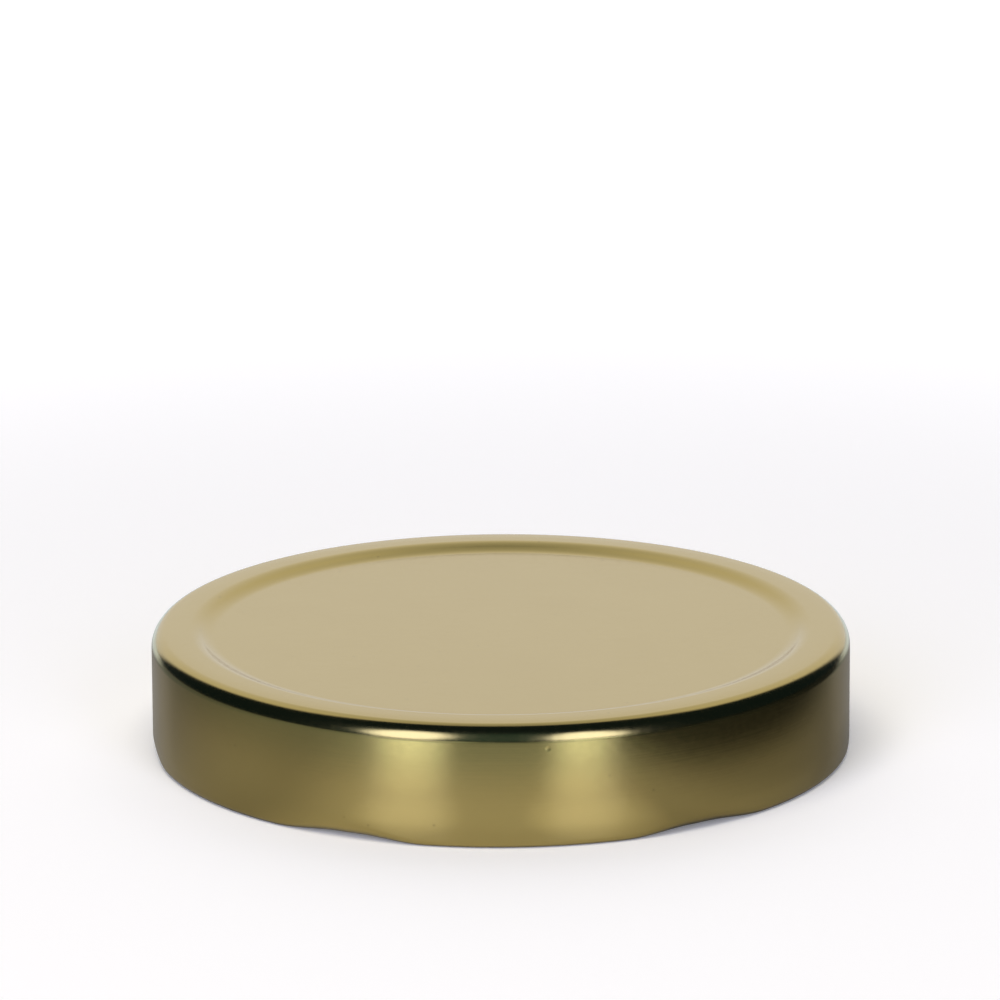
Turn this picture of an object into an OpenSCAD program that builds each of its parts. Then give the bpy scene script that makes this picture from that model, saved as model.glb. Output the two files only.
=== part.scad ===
// Twist-off lid for a wide jar: one pressing of lacquered sheet, with a flowed-in sealing ring.
// Millimetres. The origin is the centre of the circle that the rolled edge stands on, +Z is up,
// and +X runs through the middle of a lug.

/* [Shell] */
// Outside diameter of the skirt
lid_d = 86; // [66:0.5:110]
// Height from the rolled edge to the top of the ring
lid_h = 15.2; // [12:0.1:24]
// Thickness of the sheet
sheet_t = 0.18; // [0.16:0.01:0.24]

/* [Top] */
// Outside radius of the shoulder between the rim and the skirt
shoulder_r = 2.25; // [1.8:0.05:2.6]
// Outside radius of the tighter bend where the ring turns down into the shoulder
rim_r = 1.5; // [1.1:0.1:1.7]
// Slope at which the rim's bend runs into the shoulder, in degrees
rim_slope = 35; // [30:1:40]
// Outside radius of the gentle crown between the flat ring and the rim's bend
crown_r = 32; // [26:1:38]
// Slope at which the crown runs into the rim's bend, in degrees
crown_slope = 3.7; // [3:0.1:4]
// Width of the ring, from the outside of the skirt to the edge of the recess
ring_w = 4.6; // [4.4:0.1:6]
// Depth of the panel below the top of the ring
recess_depth = 0.86; // [0.8:0.02:1.2]
// Slope of the recess wall, in degrees
recess_slope = 29; // [24:1:31]
// Outside radius of the bend from the ring into the recess wall
brow_r = 3.1; // [2.4:0.1:3.4]
// Outside radius of the bend from the recess wall into the panel
foot_r = 2.5; // [2:0.1:2.8]

/* [Rolled edge and lugs] */
// Outside diameter of the rolled edge between the lugs
curl_d = 1.8; // [1.5:0.1:2]
// Number of lugs
lug_n = 6; // [4, 6, 8]
// How far a lug's tip stands in from the outside of the skirt
lug_reach = 3.25; // [2.8:0.05:3.6]
// Thickness of the rolled edge where it is pressed flat into a lug
lug_t = 1.2; // [1:0.1:1.4]
// Height of a lug's underside above the plain rolled edge
lug_lift = 0.4; // [0.2:0.05:0.6]
// Outside radius at which the skirt turns in under a lug
lug_bend_r = 1.8; // [1.4:0.1:2]
// Angle over which a lug keeps its full form, in degrees
lug_flat = 3; // [2:1:6]
// Angle over which each side of a lug runs out into the plain edge, in degrees
lug_flank = 12.5; // [10:0.5:13]

/* [Sealing ring] */
// Thickness of the sealing ring below the sheet of the flat ring
seal_t = 0.75; // [0.5:0.05:0.9]
// How far the sealing ring reaches in under the recess wall, from the edge of the recess
seal_in = 1.5; // [1:0.1:1.8]
// Rise of the sealing ring's face from its flat seat out to the shoulder
seal_rise = 0.3; // [0.2:0.05:0.4]
// Gap between the seat's outer edge and the circle through the lugs' tips
seat_clearance = 0.15; // [0.1:0.05:0.4]

/* [Hidden] */
$fn = 180;
gold = [0.74, 0.68, 0.50];
sealing_grey = [0.80, 0.79, 0.75];

lid_r = lid_d / 2;
arc_step = 9;

// The crown, the rim's bend and the shoulder share tangents, and the shoulder ends on the skirt.
shoulder_axis_r = lid_r - shoulder_r;
rim_axis_r = shoulder_axis_r + (shoulder_r - rim_r) * sin(rim_slope);
crown_axis_r = rim_axis_r - (crown_r - rim_r) * sin(crown_slope);
crown_axis_z = lid_h - crown_r;
rim_axis_z = crown_axis_z + (crown_r - rim_r) * cos(crown_slope);
shoulder_axis_z = rim_axis_z - (shoulder_r - rim_r) * cos(rim_slope);

// The recess wall is a short straight slope between two long bends.
recess_r = lid_r - ring_w;
bends_drop = (brow_r + foot_r) * (1 - cos(recess_slope));
slope_run = (recess_depth - bends_drop) / tan(recess_slope);
recess_wall_w = slope_run + (brow_r + foot_r) * sin(recess_slope);
panel_r = recess_r - recess_wall_w;
panel_z = lid_h - recess_depth;

// The lower band carries the rolled edge and the lugs. It ends in a tongue inside the skirt.
band_h = 3;
tongue_inset = 0.05;
tongue_h = 0.4;
scarf_h = 0.3;
band_r = lid_r - tongue_inset;
ring_step = 3;
ring_n = 360 / ring_step;
turn_step = 20;
turns = [for (a = [turn_step / 2 : turn_step : 300]) a];
heel_in = 1.2;

// The sealing ring's flat seat ends just inside the circle through the lugs' tips.
seat_z = lid_h - sheet_t - seal_t;
seat_r = lid_r - lug_reach - seat_clearance;
seal_inner_r = recess_r - seal_in;

// Points on an arc in the radius and height plane, from one slope of the skin to another.
// The slope is 0 where the skin is level and 90 where it hangs straight down.
function arc(axis_r, axis_z, r, from, to) =
    let (n = ceil(abs(to - from) / arc_step))
    [for (i = [0 : n])
        let (s = from + (to - from) * i / n)
        [axis_r + r * sin(s), axis_z + r * cos(s)]];

// The upper skin of the pressing moved in by a depth, from the axis out to the skirt.
function skin(depth) = concat(
    [[0, panel_z - depth]],
    arc(panel_r, panel_z + foot_r, -(foot_r + depth), 0, -recess_slope),
    arc(recess_r, lid_h - brow_r, brow_r - depth, -recess_slope, 0),
    arc(crown_axis_r, crown_axis_z, crown_r - depth, 0, crown_slope),
    arc(rim_axis_r, rim_axis_z, rim_r - depth, crown_slope, rim_slope),
    arc(shoulder_axis_r, shoulder_axis_z, shoulder_r - depth, rim_slope, 90)
);

function reversed(points) = [for (i = [len(points) - 1 : -1 : 0]) points[i]];

function mix(plain, lug, weight) = plain + (lug - plain) * weight;

// How much of a lug there is at an angle round the lid: 1 on the lug and 0 on the plain edge.
function lug_weight(angle) =
    let (pitch = 360 / lug_n)
    let (off = abs((angle + pitch / 2) % pitch - pitch / 2))
    let (down = min(1, max(0, (off - lug_flat / 2) / lug_flank)))
    (1 + cos(180 * down)) / 2;

// A point on the rolled edge, where turn is how far the sheet has turned from hanging straight
// down. The edge turns round three axes: the skirt's bend, the lug's tip, and the lug's heel.
// The points stand a little outside each arc, so that the flats between them touch it.
function edge_point(weight, turn, depth) =
    let (curl_r = curl_d / 2)
    let (base_z = mix(0, lug_lift, weight))
    let (bend_r = mix(curl_r, lug_bend_r, weight))
    let (tip_r = mix(curl_r, lug_t / 2, weight))
    let (tip_axis = mix(band_r - curl_r, lid_r - lug_reach + lug_t / 2, weight))
    let (heel_axis = mix(band_r - curl_r, band_r - heel_in, weight))
    let (r = turn < 90 ? bend_r : tip_r)
    let (axis = turn < 90 ? band_r - bend_r : turn < 270 ? tip_axis : heel_axis)
    let (reach = (r - depth) / cos(turn_step / 2))
    [axis + reach * cos(turn), base_z + r - reach * sin(turn)];

// The section of the lower band: down the outside, round the roll to the cut edge, and back.
function band_section(weight) = concat(
    [[band_r, band_h + tongue_h]],
    [for (turn = turns) edge_point(weight, turn, 0)],
    [for (turn = reversed(turns)) edge_point(weight, turn, sheet_t)],
    [
        [band_r - sheet_t, band_h - scarf_h],
        [lid_r - sheet_t + tongue_inset, band_h - tongue_inset],
        [lid_r - sheet_t + tongue_inset, band_h + tongue_h]
    ]
);

// A closed ring through sections that change with the angle round the lid.
module lugged_band() {
    sections = [for (i = [0 : ring_n - 1]) band_section(lug_weight(i * ring_step))];
    m = len(sections[0]);
    points = [
        for (i = [0 : ring_n - 1])
            for (p = sections[i])
                [p[0] * cos(i * ring_step), p[0] * sin(i * ring_step), p[1]]
    ];
    faces = [
        for (i = [0 : ring_n - 1])
            for (j = [0 : m - 1])
                let (a = i * m + j)
                let (b = i * m + (j + 1) % m)
                let (c = ((i + 1) % ring_n) * m + (j + 1) % m)
                let (d = ((i + 1) % ring_n) * m + j)
                for (face = [[a, c, b], [a, d, c]]) face
    ];
    polyhedron(points, faces);
}

// Panel, recess wall, ring, crown, shoulder and plain skirt, revolved as one sheet.
module pressed_top() {
    rotate_extrude()
        polygon(concat(
            skin(0),
            [[lid_r, band_h], [lid_r - sheet_t, band_h]],
            reversed(skin(sheet_t))
        ));
}

module lid_shell() {
    color(gold)
        union() {
            pressed_top();
            lugged_band();
        }
}

// The sealing compound fills the channel under the ring and thins out against the shoulder.
module sealing_ring() {
    color(sealing_grey)
        rotate_extrude()
            intersection() {
                polygon(concat(skin(sheet_t), [[lid_r - sheet_t, 0], [0, 0]]));
                polygon([
                    [seal_inner_r, seat_z],
                    [seat_r, seat_z],
                    [lid_r, seat_z + seal_rise * (lid_r - seat_r) / (shoulder_axis_r - seat_r)],
                    [lid_r, lid_h],
                    [seal_inner_r, lid_h]
                ]);
            }
}

lid_shell();
sealing_ring();
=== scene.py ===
"""Studio picture of a deep gold-lacquered twist-off jar lid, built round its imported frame."""
import math

import bpy
from mathutils import Matrix, Vector


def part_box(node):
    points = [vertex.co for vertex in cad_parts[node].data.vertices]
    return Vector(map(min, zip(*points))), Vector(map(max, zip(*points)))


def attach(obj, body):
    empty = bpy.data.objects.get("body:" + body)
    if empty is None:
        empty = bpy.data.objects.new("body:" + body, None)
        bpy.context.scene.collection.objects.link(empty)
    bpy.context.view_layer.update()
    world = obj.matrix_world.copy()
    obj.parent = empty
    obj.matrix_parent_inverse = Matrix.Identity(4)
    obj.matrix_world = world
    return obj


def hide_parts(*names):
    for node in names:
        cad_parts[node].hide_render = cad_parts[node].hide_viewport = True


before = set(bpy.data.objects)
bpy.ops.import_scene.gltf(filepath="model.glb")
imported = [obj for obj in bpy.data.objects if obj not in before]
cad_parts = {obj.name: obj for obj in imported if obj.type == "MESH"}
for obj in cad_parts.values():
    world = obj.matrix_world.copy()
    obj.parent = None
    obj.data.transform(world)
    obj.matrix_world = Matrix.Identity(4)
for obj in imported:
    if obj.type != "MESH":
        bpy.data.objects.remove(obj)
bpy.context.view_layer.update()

# Camera. A long lens looks down on the lid from about a metre away, a few degrees off the
# middle of a lug gap. It is aimed above the lid, so the lid sits low in the picture.
camera_distance = 1.0
camera_azimuth = math.radians(-4.1)
camera_elevation = math.radians(17.16)
camera_roll = math.radians(-0.287)
aim_above_floor = 0.0311
lens_mm = 291.0
sensor_mm = 36.0

camera_direction = Vector(
    (
        math.sin(camera_azimuth) * math.cos(camera_elevation),
        -math.cos(camera_azimuth) * math.cos(camera_elevation),
        math.sin(camera_elevation),
    )
)
camera_data = bpy.data.cameras.new("lid_camera")
camera_data.lens = lens_mm
camera_data.sensor_width = sensor_mm
camera_data.clip_start = 0.05
camera_data.clip_end = 20.0
camera = bpy.data.objects.new("lid_camera", camera_data)
camera.location = camera_direction * camera_distance
look = Vector((0.0, 0.0, aim_above_floor)) - camera.location
camera.rotation_mode = "QUATERNION"
camera.rotation_quaternion = (
    look.to_track_quat("-Z", "Y") @ Matrix.Rotation(camera_roll, 3, "Z").to_quaternion()
)
bpy.context.scene.collection.objects.link(camera)
bpy.context.scene.camera = camera
bpy.context.scene.view_settings.view_transform = "Standard"


# Surroundings. A pale backdrop stands behind the lid and leans overhead. The camera's side of
# the room is dark, but for two tall soft windows to its left and right.
backdrop_low_colour = (1.03, 1.01, 1.015)
backdrop_high_colour = (0.57, 0.58, 0.61)
backdrop_falls = {"up": (0.45, 0.97), "side": (0.0, 0.36), "at_side": 0.2}
backdrop_dims = {"up": (0.06, 0.34), "from": 0.92}
backdrop_side = {"away": 0.62, "up": 0.48, "edge": (-0.10, 0.10)}
backdrop_front = {"up": -0.245, "edge": (-0.122, 0.122)}
room_colour = (0.009, 0.019, 0.032)
room_middle = {"colour": (0.035, 0.080, 0.110), "azimuth": (-48.0, 18.0), "elevation": (-8.0, 46.0)}
room_middle_edge = 26.0
window_colour = (2.75, 2.98, 4.55)
windows = (
    {"azimuth": -31.0, "half_width": 14.0, "elevation": 22.0, "half_height": 25.0},
    {"azimuth": 28.0, "half_width": 12.2, "elevation": 10.5, "half_height": 29.0},
)
window_edge = (0.40, 1.50)


def feed(tree, socket, value):
    """Sets a socket to a plain value, or links it to another socket."""
    if isinstance(value, bpy.types.NodeSocket):
        tree.links.new(value, socket)
    elif isinstance(value, tuple) and len(value) < len(socket.default_value):
        socket.default_value = (*value, 1.0)
    else:
        socket.default_value = value


def math_node(tree, operation, *values):
    """A math node fed with sockets or plain numbers, and its result."""
    node = tree.nodes.new("ShaderNodeMath")
    node.operation = operation
    for socket, value in zip(node.inputs, values):
        feed(tree, socket, value)
    return node.outputs[0]


def smooth_step(tree, value, low, high, start=0.0, end=1.0):
    """Runs smoothly from start to end while the value goes from low to high."""
    node = tree.nodes.new("ShaderNodeMapRange")
    node.interpolation_type = "SMOOTHSTEP"
    for name, setting in (
        ("Value", value),
        ("From Min", low),
        ("From Max", high),
        ("To Min", start),
        ("To Max", end),
    ):
        feed(tree, node.inputs[name], setting)
    return node.outputs["Result"]


def between(tree, value, low, high, edge):
    """1 while the value is between low and high, with soft edges."""
    rise = smooth_step(tree, value, low - edge / 2, low + edge / 2)
    fall = smooth_step(tree, value, high - edge / 2, high + edge / 2, 1.0, 0.0)
    return math_node(tree, "MULTIPLY", rise, fall)


def mixed_colour(tree, share, first, second):
    """The first colour where the share is 0, and the second where it is 1."""
    node = tree.nodes.new("ShaderNodeMix")
    node.data_type = "RGBA"
    node.clamp_factor = False
    sockets = {socket.identifier: socket for socket in (*node.inputs, *node.outputs)}
    for name, value in (("Factor_Float", share), ("A_Color", first), ("B_Color", second)):
        feed(tree, sockets[name], value)
    return sockets["Result_Color"]


def turned_to_camera(tree, vector):
    """The vector in axes turned with the camera: x to its right, y away from it, z up."""
    turn = tree.nodes.new("ShaderNodeVectorRotate")
    turn.rotation_type = "Z_AXIS"
    turn.inputs["Angle"].default_value = -camera_azimuth
    tree.links.new(vector, turn.inputs["Vector"])
    parts = tree.nodes.new("ShaderNodeSeparateXYZ")
    tree.links.new(turn.outputs["Vector"], parts.inputs["Vector"])
    return parts.outputs


world = bpy.data.worlds.new("studio")
world.use_nodes = True
bpy.context.scene.world = world
sky = world.node_tree
sky.nodes.clear()
sky_direction = sky.nodes.new("ShaderNodeTexCoord").outputs["Generated"]
side, away, up = turned_to_camera(sky, sky_direction)
azimuth = math_node(
    sky, "DEGREES", math_node(sky, "ARCTAN2", side, math_node(sky, "MULTIPLY", away, -1.0))
)
elevation = math_node(sky, "DEGREES", math_node(sky, "ARCSINE", up))

half_width = math_node(
    sky,
    "ADD",
    math_node(sky, "MULTIPLY", away, backdrop_side["away"]),
    math_node(sky, "MULTIPLY", up, backdrop_side["up"]),
)
inside_edge = math_node(sky, "SUBTRACT", half_width, math_node(sky, "ABSOLUTE", side))
within_sides = smooth_step(sky, inside_edge, *backdrop_side["edge"])
behind_front = math_node(
    sky, "ADD", away, math_node(sky, "MULTIPLY", up, backdrop_front["up"])
)
within_front = smooth_step(sky, behind_front, *backdrop_front["edge"])
on_backdrop = math_node(sky, "MULTIPLY", within_sides, within_front)
low_level = smooth_step(sky, up, *backdrop_dims["up"], backdrop_dims["from"], 1.0)
on_backdrop = math_node(sky, "MULTIPLY", on_backdrop, low_level)

in_middle = math_node(
    sky,
    "MULTIPLY",
    between(sky, azimuth, *room_middle["azimuth"], room_middle_edge),
    between(sky, elevation, *room_middle["elevation"], room_middle_edge),
)
room = mixed_colour(sky, in_middle, room_colour, room_middle["colour"])
falling = math_node(
    sky,
    "MULTIPLY",
    smooth_step(sky, up, *backdrop_falls["up"]),
    smooth_step(
        sky,
        math_node(sky, "ABSOLUTE", side),
        *backdrop_falls["side"],
        1.0,
        backdrop_falls["at_side"],
    ),
)
backdrop = mixed_colour(sky, falling, backdrop_low_colour, backdrop_high_colour)
surroundings = mixed_colour(sky, on_backdrop, room, backdrop)
for window in windows:
    across, along = (
        math_node(
            sky,
            "DIVIDE",
            math_node(sky, "SUBTRACT", angle, window[centre]),
            window[half],
        )
        for angle, centre, half in (
            (azimuth, "azimuth", "half_width"),
            (elevation, "elevation", "half_height"),
        )
    )
    from_centre = math_node(
        sky,
        "ADD",
        math_node(sky, "POWER", across, 2.0),
        math_node(sky, "POWER", along, 2.0),
    )
    in_window = smooth_step(sky, from_centre, *window_edge, 1.0, 0.0)
    surroundings = mixed_colour(sky, in_window, surroundings, window_colour)
seen_by_camera = sky.nodes.new("ShaderNodeLightPath").outputs["Is Camera Ray"]
plain_white = (1.0, 1.0, 1.0)
background = sky.nodes.new("ShaderNodeBackground")
sky.links.new(
    mixed_colour(sky, seen_by_camera, surroundings, plain_white), background.inputs["Color"]
)
world_output = sky.nodes.new("ShaderNodeOutputWorld")
sky.links.new(background.outputs["Background"], world_output.inputs["Surface"])

# A wide diffused lamp hangs over the table, out of the lid's reflections.
lamp_place = (-0.15, -0.45, 1.15)
lamp_power = 9.0
lamp_size = 0.9
lamp_colour = (1.0, 0.93, 0.80)
lamp_data = bpy.data.lights.new("overhead_lamp", "AREA")
lamp_data.shape = "SQUARE"
lamp_data.size = lamp_size
lamp_data.energy = lamp_power
lamp_data.color = lamp_colour
lamp = bpy.data.objects.new("overhead_lamp", lamp_data)
lamp.location = Matrix.Rotation(camera_azimuth, 3, "Z") @ Vector(lamp_place)
lamp.rotation_mode = "QUATERNION"
lamp.rotation_quaternion = (-lamp.location).to_track_quat("-Z", "Y")
lamp.visible_glossy = False
bpy.context.scene.collection.objects.link(lamp)


# Floor. A plain sheet of semi-gloss white board. The camera sees it as white with the lid's soft
# shadow. In the lid's reflections it carries painted light: painted pools of window light close in
# front of the lid, painted shade to its right, far away and in a dark corner, and a painted cooler
# tint farther out.
floor_half = 6.0
floor_seen_colour = (0.95, 0.945, 0.925)
floor_lift = {"radius": (0.10, 0.45), "near": 0.16, "far": 0.75}
# Painted light and shade on the board, for rays other than the camera's: a painted level in front
# of the lid, and painted shade that dims it in the middle, far away, at the sides and in a corner.
floor_front_painted_level = 0.90
floor_middle = {"in_front": (0.050, 0.100), "side": (0.012, 0.040), "dim": 0.60}
floor_far = {"radius": (0.100, 0.400), "level": 0.25}
floor_behind = {"away": (0.020, 0.080), "widens": 0.70, "start": 0.050, "edge": (-0.020, 0.030)}
floor_left = {"azimuth": (-50.0, -24.0), "level": 0.55}
floor_far_left = {"azimuth": (-100.0, -58.0), "level": 0.60}
floor_left_edge = {"radius": (0.058, 0.084), "azimuth": (-36.0, -20.0), "dim": 0.30}
floor_right = {"azimuth": (14.0, 34.0), "level": 0.62}
floor_far_right = {"side": (0.030, 0.050), "level": 0.60}
floor_right_end = {"azimuth": (56.0, 92.0), "level": 0.70}
painted_dark_corner = {"toward": 0.38, "reach": (0.058, 0.079), "level": 0.12}
# Painted pools of window light on the board in front of the lid, up to about three times white.
painted_window_pools = (
    {"side": -0.032, "away": -0.080, "radius": (0.0, 0.024), "level": 2.40},
    {"side": -0.025, "away": -0.066, "radius": (0.0, 0.026), "level": 1.40},
    {"side": -0.0175, "away": -0.052, "radius": (0.0, 0.030), "level": 1.27},
    {"side": 0.096, "away": -0.205, "radius": (0.0, 0.075), "level": 3.10},
    {"side": 0.050, "away": -0.120, "radius": (0.0, 0.034), "level": 3.00},
    {"side": 0.028, "away": -0.080, "radius": (0.0, 0.020), "level": 2.25},
    {"side": 0.020, "away": -0.066, "radius": (0.0, 0.024), "level": 1.36},
    {"side": 0.0145, "away": -0.053, "radius": (0.0, 0.030), "level": 1.30},
)
board_roughness = 0.18
board_polish = 0.35
# The board's tint: near white by the lid, turning to a painted cooler shade colour farther out.
board_near_colour = (1.0, 1.0, 0.98)
board_far_shade_colour = (0.84, 1.0, 1.07)
board_shade_cools = (0.062, 0.090)

floor_mesh = bpy.data.meshes.new("floor")
floor_corners = [
    (x * floor_half, y * floor_half, 0.0) for x, y in ((-1, -1), (1, -1), (1, 1), (-1, 1))
]
floor_mesh.from_pydata(floor_corners, [], [(0, 1, 2, 3)])
floor = bpy.data.objects.new("floor", floor_mesh)
bpy.context.scene.collection.objects.link(floor)

board = bpy.data.materials.new("white_board")
board.use_nodes = True
floor_mesh.materials.append(board)
tree = board.node_tree
tree.nodes.clear()
place = tree.nodes.new("ShaderNodeTexCoord").outputs["Object"]
floor_side, floor_away, _ = turned_to_camera(tree, place)
in_front = math_node(tree, "MULTIPLY", floor_away, -1.0)
seen = tree.nodes.new("ShaderNodeLightPath").outputs["Is Camera Ray"]
from_axis = tree.nodes.new("ShaderNodeVectorMath")
from_axis.operation = "LENGTH"
tree.links.new(place, from_axis.inputs[0])
radius = from_axis.outputs["Value"]
# Painted shade: dims in the middle in front, at the left edge, far away, to the sides and in a dark
# corner, all multiplying the front level.
corner_reach = math_node(
    tree, "ADD", floor_side, math_node(tree, "MULTIPLY", in_front, painted_dark_corner["toward"])
)
floor_azimuth = math_node(tree, "DEGREES", math_node(tree, "ARCTAN2", floor_side, in_front))
middle_painted_shade = math_node(
    tree,
    "MULTIPLY",
    smooth_step(tree, in_front, *floor_middle["in_front"], 0.0, floor_middle["dim"]),
    smooth_step(
        tree, math_node(tree, "ABSOLUTE", floor_side), *floor_middle["side"], 1.0, 0.0
    ),
)
left_edge_painted_shade = math_node(
    tree,
    "MULTIPLY",
    smooth_step(tree, radius, *floor_left_edge["radius"], 0.0, floor_left_edge["dim"]),
    smooth_step(tree, floor_azimuth, *floor_left_edge["azimuth"], 1.0, 0.0),
)
painted_shade_falls = (
    math_node(tree, "SUBTRACT", 1.0, left_edge_painted_shade),
    math_node(tree, "SUBTRACT", 1.0, middle_painted_shade),
    smooth_step(tree, radius, *floor_far["radius"], 1.0, floor_far["level"]),
    smooth_step(tree, floor_azimuth, *floor_left["azimuth"], floor_left["level"], 1.0),
    smooth_step(tree, floor_azimuth, *floor_right["azimuth"], 1.0, floor_right["level"]),
    smooth_step(
        tree, floor_azimuth, *floor_far_left["azimuth"], floor_far_left["level"], 1.0
    ),
    smooth_step(tree, floor_side, *floor_far_right["side"], 1.0, floor_far_right["level"]),
    smooth_step(
        tree, floor_azimuth, *floor_right_end["azimuth"], 1.0, floor_right_end["level"]
    ),
    smooth_step(tree, corner_reach, *painted_dark_corner["reach"], 1.0, painted_dark_corner["level"]),
)
behind_half_width = math_node(
    tree,
    "MULTIPLY_ADD",
    floor_away,
    floor_behind["widens"],
    floor_behind["start"],
)
behind_edge = math_node(
    tree, "SUBTRACT", behind_half_width, math_node(tree, "ABSOLUTE", floor_side)
)
level = math_node(
    tree,
    "MULTIPLY",
    smooth_step(tree, floor_away, *floor_behind["away"]),
    smooth_step(tree, behind_edge, *floor_behind["edge"]),
)
# Painted light and shade in front of the lid: the dims scale the front level down and the painted
# pools of window light raise it.
painted_front_level = floor_front_painted_level
for fall in painted_shade_falls:
    painted_front_level = math_node(tree, "MULTIPLY", fall, painted_front_level)
# Each painted pool of window light raises the front level near its centre.
for pool in painted_window_pools:
    off_side = math_node(tree, "SUBTRACT", floor_side, pool["side"])
    off_away = math_node(tree, "SUBTRACT", floor_away, pool["away"])
    off = math_node(
        tree,
        "SQRT",
        math_node(
            tree,
            "ADD",
            math_node(tree, "POWER", off_side, 2.0),
            math_node(tree, "POWER", off_away, 2.0),
        ),
    )
    painted_pool_level = smooth_step(tree, off, *pool["radius"], pool["level"], 0.0)
    painted_front_level = math_node(tree, "MAXIMUM", painted_front_level, painted_pool_level)
# The painted level: plain white behind the lid, painted light and shade in front of it.
level = math_node(tree, "MAXIMUM", level, painted_front_level)
# Painted shade colour: the board turns cooler farther from the lid.
painted_shade_cooling = smooth_step(tree, radius, *board_shade_cools)
board_painted_tint = mixed_colour(tree, painted_shade_cooling, board_near_colour, board_far_shade_colour)
# The board's colour for rays other than the camera's is its tint scaled by the painted level.
board_with_painted_light = mixed_colour(tree, level, (0.0, 0.0, 0.0), board_painted_tint)
board_colour = mixed_colour(tree, seen, board_with_painted_light, floor_seen_colour)
board_face = tree.nodes.new("ShaderNodeBsdfDiffuse")
tree.links.new(board_colour, board_face.inputs["Color"])
board_gloss = tree.nodes.new("ShaderNodeBsdfGlossy")
board_gloss.inputs["Roughness"].default_value = board_roughness
fresnel = tree.nodes.new("ShaderNodeFresnel").outputs["Fac"]
not_seen = math_node(tree, "SUBTRACT", 1.0, seen)
polish = mixed_colour(
    tree, math_node(tree, "MULTIPLY", fresnel, not_seen), (0.0, 0.0, 0.0), (board_polish,) * 3
)
tree.links.new(polish, board_gloss.inputs["Color"])
board_lift = tree.nodes.new("ShaderNodeEmission")
lift = smooth_step(
    tree, radius, *floor_lift["radius"], floor_lift["near"], floor_lift["far"]
)
tree.links.new(math_node(tree, "MULTIPLY", seen, lift), board_lift.inputs["Strength"])
board_shader = board_face.outputs["BSDF"]
for layer in (board_gloss.outputs["BSDF"], board_lift.outputs["Emission"]):
    board_sum = tree.nodes.new("ShaderNodeAddShader")
    tree.links.new(board_shader, board_sum.inputs[0])
    tree.links.new(layer, board_sum.inputs[1])
    board_shader = board_sum.outputs["Shader"]
board_output = tree.nodes.new("ShaderNodeOutputMaterial")
tree.links.new(board_shader, board_output.inputs["Surface"])


# Lid shell. One pressing of tinplate, lacquered gold on both sides: a recessed panel, a raised
# ring, a rounded shoulder and a plain skirt. The rim is rolled inward and pressed into six lugs.
mm = 0.001
shell_low, shell_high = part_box("lid_shell")
lid_r = shell_high.x
lid_h = shell_high.z
sheet_t = 0.18 * mm
shoulder_r = 2.25 * mm
rim_r = 1.5 * mm
rim_slope = 35.0
crown_r = 32 * mm
crown_slope = 3.7
ring_w = 4.6 * mm
recess_depth = 0.86 * mm
recess_slope = 29.0
brow_r = 3.1 * mm
foot_r = 3.6 * mm
curl_r = 0.9 * mm
lug_n = 6
lug_reach = 3.25 * mm
lug_tip_r = 0.6 * mm
lug_lift = 0.4 * mm
lug_bend_r = 1.8 * mm
lug_heel_in = 1.2 * mm
lug_flat = 3.0
lug_flank = 12.5
curl_turn = 300.0
skirt_ends = 3.0 * mm
rings_round = 360
support = 0.06 * mm

shoulder_axis_r = lid_r - shoulder_r
rim_axis_r = shoulder_axis_r + (shoulder_r - rim_r) * math.sin(math.radians(rim_slope))
crown_axis_r = rim_axis_r - (crown_r - rim_r) * math.sin(math.radians(crown_slope))
crown_axis_z = lid_h - crown_r
rim_axis_z = crown_axis_z + (crown_r - rim_r) * math.cos(math.radians(crown_slope))
shoulder_axis_z = rim_axis_z - (shoulder_r - rim_r) * math.cos(math.radians(rim_slope))
recess_r = lid_r - ring_w
panel_z = lid_h - recess_depth
bends_drop = (brow_r + foot_r) * (1 - math.cos(math.radians(recess_slope)))
slope_run = (recess_depth - bends_drop) / math.tan(math.radians(recess_slope))
recess_wall_w = slope_run + (brow_r + foot_r) * math.sin(math.radians(recess_slope))
panel_r = recess_r - recess_wall_w


def arc(axis_r, axis_z, radius, start, end, step=3.0):
    """Points on an arc of the section, by the slope of the skin in degrees."""
    count = max(1, math.ceil(abs(end - start) / step))
    slopes = [math.radians(start + (end - start) * i / count) for i in range(count + 1)]
    return [(axis_r + radius * math.sin(s), axis_z + radius * math.cos(s)) for s in slopes]


def upper_skin(depth):
    """The skin of the pressing from the panel out to the skirt, moved in by a depth."""
    level = [(panel_r * share, panel_z - depth) for share in (0.25, 0.5, 0.75, 0.93)]
    level.append((panel_r - support, panel_z - depth))
    foot = arc(panel_r, panel_z + foot_r, -(foot_r + depth), 0, -recess_slope)
    brow = arc(recess_r, lid_h - brow_r, brow_r - depth, -recess_slope, 0)
    crown = arc(crown_axis_r, crown_axis_z, crown_r - depth, 0, crown_slope, 1.0)
    rim = arc(rim_axis_r, rim_axis_z, rim_r - depth, crown_slope, rim_slope)
    shoulder = arc(shoulder_axis_r, shoulder_axis_z, shoulder_r - depth, rim_slope, 90)
    skirt = [
        (lid_r - depth, shoulder_axis_z - support),
        (lid_r - depth, (shoulder_axis_z + skirt_ends) / 2),
        (lid_r - depth, skirt_ends),
    ]
    return level + foot + brow + crown + rim[1:] + shoulder[1:] + skirt


def lug_weight(angle):
    """1 on a lug and 0 on the plain rolled edge between lugs, by the angle round the lid."""
    pitch = 360.0 / lug_n
    off = abs((angle + pitch / 2) % pitch - pitch / 2)
    down = min(1.0, max(0.0, (off - lug_flat / 2) / lug_flank))
    return (1 + math.cos(math.pi * down)) / 2


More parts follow.
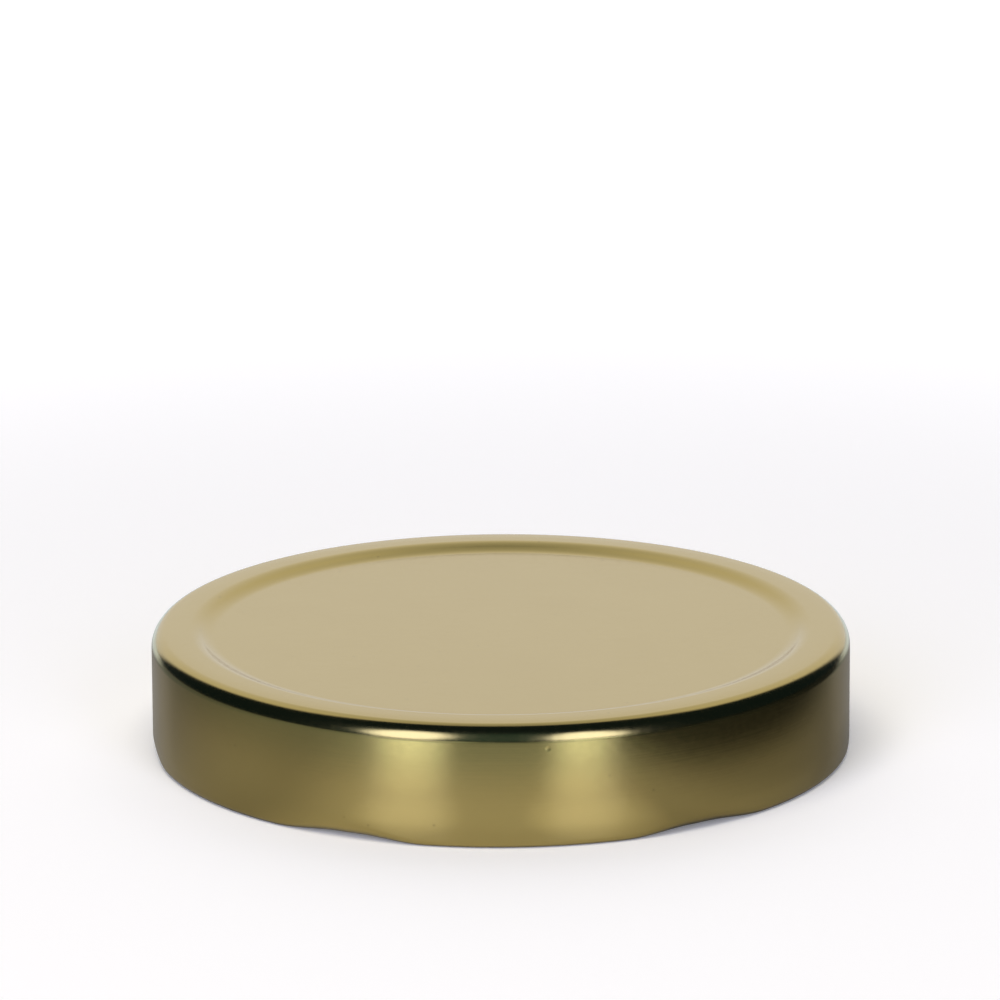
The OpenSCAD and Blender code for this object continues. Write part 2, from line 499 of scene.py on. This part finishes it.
def edge_skin(weight, depth):
    """The rolled edge as it turns in from the skirt round to its cut edge."""

    def mix(plain, lug):
        return plain + (lug - plain) * weight

    base = mix(0.0, lug_lift)
    bend = mix(curl_r, lug_bend_r)
    tip = mix(curl_r, lug_tip_r)
    turns = (
        (arc_turns(0, 90), lid_r - bend, bend),
        (arc_turns(90, 270), mix(lid_r - curl_r, lid_r - lug_reach + lug_tip_r), tip),
        (arc_turns(270, curl_turn), mix(lid_r - curl_r, lid_r - lug_heel_in), tip),
    )
    points = []
    for angles, axis, radius in turns:
        for turn in angles:
            out = (radius - depth) * math.cos(math.radians(turn))
            down = (radius - depth) * math.sin(math.radians(turn))
            points.append((axis + out, base + radius - down))
    return points


def arc_turns(start, end, step=9.0):
    """Turns at even steps that stay half a step off both ends, in degrees."""
    count = max(1, round((end - start) / step))
    return [start + (end - start) * (i + 0.5) / count for i in range(count)]


def swept_skin(sections):
    """Vertices and faces through sections that stand evenly round the lid's axis."""
    rows, columns = len(sections[0]), len(sections)
    verts = []
    for i, section in enumerate(sections):
        angle = math.tau * i / columns
        verts += [(r * math.cos(angle), r * math.sin(angle), z) for r, z in section]
    faces = []
    for i in range(columns):
        here, there = i * rows, (i + 1) % columns * rows
        faces += [(here + j, here + j + 1, there + j + 1, there + j) for j in range(rows - 1)]
    return verts, faces


def make_shell():
    """The whole pressing: outer skin, roll, cut edge and inner skin, closed at the axis."""
    outside, inside = upper_skin(0.0), upper_skin(sheet_t)
    sections = []
    for i in range(rings_round):
        weight = lug_weight(360.0 * i / rings_round)
        roll = edge_skin(weight, 0.0) + edge_skin(weight, sheet_t)[::-1]
        sections.append(outside + roll + inside[::-1])
    verts, faces = swept_skin(sections)
    rows = len(sections[0])
    top_centre = len(verts)
    verts += [(0.0, 0.0, panel_z), (0.0, 0.0, panel_z - sheet_t)]
    for i in range(rings_round):
        here, there = i * rows, (i + 1) % rings_round * rows
        faces.append((top_centre, here, there))
        faces.append((top_centre + 1, there + rows - 1, here + rows - 1))
    mesh = bpy.data.meshes.new("gold_lid_shell")
    mesh.from_pydata(verts, [], faces)
    mesh.shade_smooth()
    mesh.set_sharp_from_angle(angle=math.radians(50))
    return bpy.data.objects.new("gold_lid_shell", mesh)


shell = make_shell()
bpy.context.scene.collection.objects.link(shell)

lacquer_colour = (0.425, 0.336, 0.122)
lacquer_deep = (0.405, 0.316, 0.110)
lacquer_fleck = (0.330, 0.262, 0.098)
lacquer_roughness = (0.145, 0.175)
fleck_spacing = 2.6 * mm
fleck_radius = 0.22 * mm
fleck_share = 0.72
peel_size = 1.3 * mm
peel_height = 0.005 * mm
groove_pitch = 0.26 * mm
groove_length = 24 * mm
groove_height = 0.003 * mm
groove_fade = (shoulder_axis_z - 0.5 * mm, shoulder_axis_z + 0.3 * mm)
dents = (
    {"turn": 7.4, "height": 12.35 * mm, "radius": 0.42 * mm, "depth": 0.014 * mm},
    {"turn": 14.6, "height": 9.6 * mm, "radius": 1.7 * mm, "depth": 0.007 * mm},
    {"turn": 15.9, "height": 8.1 * mm, "radius": 1.1 * mm, "depth": 0.005 * mm},
)


def vector_node(tree, operation, *values):
    """A vector math node fed with sockets or plain values, and its result."""
    node = tree.nodes.new("ShaderNodeVectorMath")
    node.operation = operation
    for socket, value in zip(node.inputs, values):
        feed(tree, socket, value)
    return node.outputs["Value" if operation in ("LENGTH", "DISTANCE") else "Vector"]


def noise(tree, place, scale, detail=2.0):
    """Cloudy noise from 0 to 1 with the given number of waves in a metre."""
    node = tree.nodes.new("ShaderNodeTexNoise")
    tree.links.new(place, node.inputs["Vector"])
    node.inputs["Scale"].default_value = scale
    node.inputs["Detail"].default_value = detail
    return node.outputs["Fac"]


def dent_height(tree, place, dent):
    """A shallow round dent in the skirt, placed by its turn from the camera and its height."""
    turn = math.radians(dent["turn"]) + camera_azimuth
    centre = (lid_r * math.sin(turn), -lid_r * math.cos(turn), dent["height"])
    off = vector_node(tree, "DISTANCE", place, centre)
    return smooth_step(tree, off, 0.0, dent["radius"], -dent["depth"], 0.0)


def lacquer_material():
    """Clear gold lacquer on tinplate, with faint clouds, flecks, drawing lines and small dents."""
    material = bpy.data.materials.new("gold_lacquered_tinplate")
    material.use_nodes = True
    tree = material.node_tree
    face = tree.nodes["Principled BSDF"]
    face.inputs["Metallic"].default_value = 1.0
    place = tree.nodes.new("ShaderNodeTexCoord").outputs["Object"]

    cells = tree.nodes.new("ShaderNodeTexVoronoi")
    tree.links.new(place, cells.inputs["Vector"])
    cells.inputs["Scale"].default_value = 1 / fleck_spacing
    parts = tree.nodes.new("ShaderNodeSeparateColor")
    tree.links.new(cells.outputs["Color"], parts.inputs["Color"])
    chosen = math_node(tree, "GREATER_THAN", parts.outputs["Red"], fleck_share)
    fleck_edge = fleck_radius / fleck_spacing
    near_fleck = smooth_step(
        tree, cells.outputs["Distance"], fleck_edge / 2, fleck_edge, 1.0, 0.0
    )
    fleck = math_node(tree, "MULTIPLY", chosen, near_fleck)

    clouds = noise(tree, place, 1 / (9 * mm), 4.0)
    colour = mixed_colour(tree, clouds, lacquer_colour, lacquer_deep)
    tree.links.new(
        mixed_colour(tree, fleck, colour, lacquer_fleck), face.inputs["Base Color"]
    )
    grain = noise(tree, place, 1 / (0.8 * mm), 3.0)
    tree.links.new(smooth_step(tree, grain, 0.3, 0.7, *lacquer_roughness), face.inputs["Roughness"])

    stretched = vector_node(
        tree, "MULTIPLY", place, (1 / groove_length, 1 / groove_length, 1 / groove_pitch)
    )
    level = tree.nodes.new("ShaderNodeSeparateXYZ")
    tree.links.new(place, level.inputs["Vector"])
    on_skirt = smooth_step(tree, level.outputs["Z"], *groove_fade, groove_height, 0.0)
    grooves = math_node(tree, "MULTIPLY", noise(tree, stretched, 1.0, 3.0), on_skirt)
    peel = math_node(tree, "MULTIPLY", noise(tree, place, 1 / peel_size, 1.0), peel_height)
    height = math_node(tree, "ADD", grooves, peel)
    for dent in dents:
        height = math_node(tree, "ADD", height, dent_height(tree, place, dent))
    bump = tree.nodes.new("ShaderNodeBump")
    bump.inputs["Strength"].default_value = 1.0
    bump.inputs["Distance"].default_value = 1.0
    tree.links.new(height, bump.inputs["Height"])
    tree.links.new(bump.outputs["Normal"], face.inputs["Normal"])
    return material


shell.data.materials.append(lacquer_material())

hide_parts("lid_shell")
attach(shell, "root")


# Sealing ring. Soft pale compound, poured into the channel under the raised ring while the lid
# spins, and cured there. Its flat face is where the jar's rim presses.
seal_low, seal_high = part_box("sealing_ring")
seat_z = seal_low.z
seat_r = 39.60 * mm
seal_inner_r = 36.90 * mm
seal_outer_r = seal_high.x
seal_rise = 0.30 * mm
seal_bead_r = 0.28 * mm
seal_bed = 0.04 * mm


def sheet_underside():
    """The inner skin over the channel, from the inner edge of the ring out to the shoulder."""
    return [
        (r, z + seal_bed)
        for r, z in upper_skin(sheet_t)
        if seal_inner_r < r <= seal_outer_r and z > seat_z
    ]


def make_seal():
    """The ring of compound, with a soft bead at its inner edge and a thin outer edge."""
    bed = sheet_underside()
    inner_z = bed[0][1]
    bead_axis = (seal_inner_r + seal_bead_r, seat_z + seal_bead_r)
    bead = [
        (
            bead_axis[0] - seal_bead_r * math.cos(math.radians(turn)),
            bead_axis[1] - seal_bead_r * math.sin(math.radians(turn)),
        )
        for turn in range(0, 91, 15)
    ]
    edge_r, edge_z = bed[-1]
    slope = [
        (
            seat_r + (edge_r - seat_r) * share,
            seat_z + (edge_z - seal_bed - seat_z) * share**1.5,
        )
        for share in (0.0, 0.12, 0.3, 0.5, 0.7, 0.85, 0.95)
    ]
    section = [(seal_inner_r, inner_z), *bead, *slope, *bed[::-1]]
    section.append(section[0])
    verts, faces = swept_skin([section] * rings_round)
    mesh = bpy.data.meshes.new("poured_sealing_ring")
    mesh.from_pydata(verts, [], faces)
    mesh.shade_smooth()
    mesh.set_sharp_from_angle(angle=math.radians(60))
    return bpy.data.objects.new("poured_sealing_ring", mesh)


seal = make_seal()
bpy.context.scene.collection.objects.link(seal)
compound_colour = (0.63, 0.61, 0.56)
compound_shade = (0.56, 0.54, 0.49)


def compound_material():
    """Matt cream plastisol with a slightly uneven, softly rippled face."""
    material = bpy.data.materials.new("sealing_compound")
    material.use_nodes = True
    tree = material.node_tree
    face = tree.nodes["Principled BSDF"]
    place = tree.nodes.new("ShaderNodeTexCoord").outputs["Object"]
    clouds = noise(tree, place, 1 / (3 * mm), 4.0)
    tree.links.new(
        mixed_colour(tree, clouds, compound_colour, compound_shade), face.inputs["Base Color"]
    )
    tree.links.new(smooth_step(tree, clouds, 0.2, 0.8, 0.42, 0.58), face.inputs["Roughness"])
    bump = tree.nodes.new("ShaderNodeBump")
    bump.inputs["Strength"].default_value = 1.0
    bump.inputs["Distance"].default_value = 1.0
    ripple = noise(tree, place, 1 / (1.6 * mm), 2.0)
    tree.links.new(math_node(tree, "MULTIPLY", ripple, 0.03 * mm), bump.inputs["Height"])
    tree.links.new(bump.outputs["Normal"], face.inputs["Normal"])
    return material


seal.data.materials.append(compound_material())
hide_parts("sealing_ring")
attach(seal, "root")
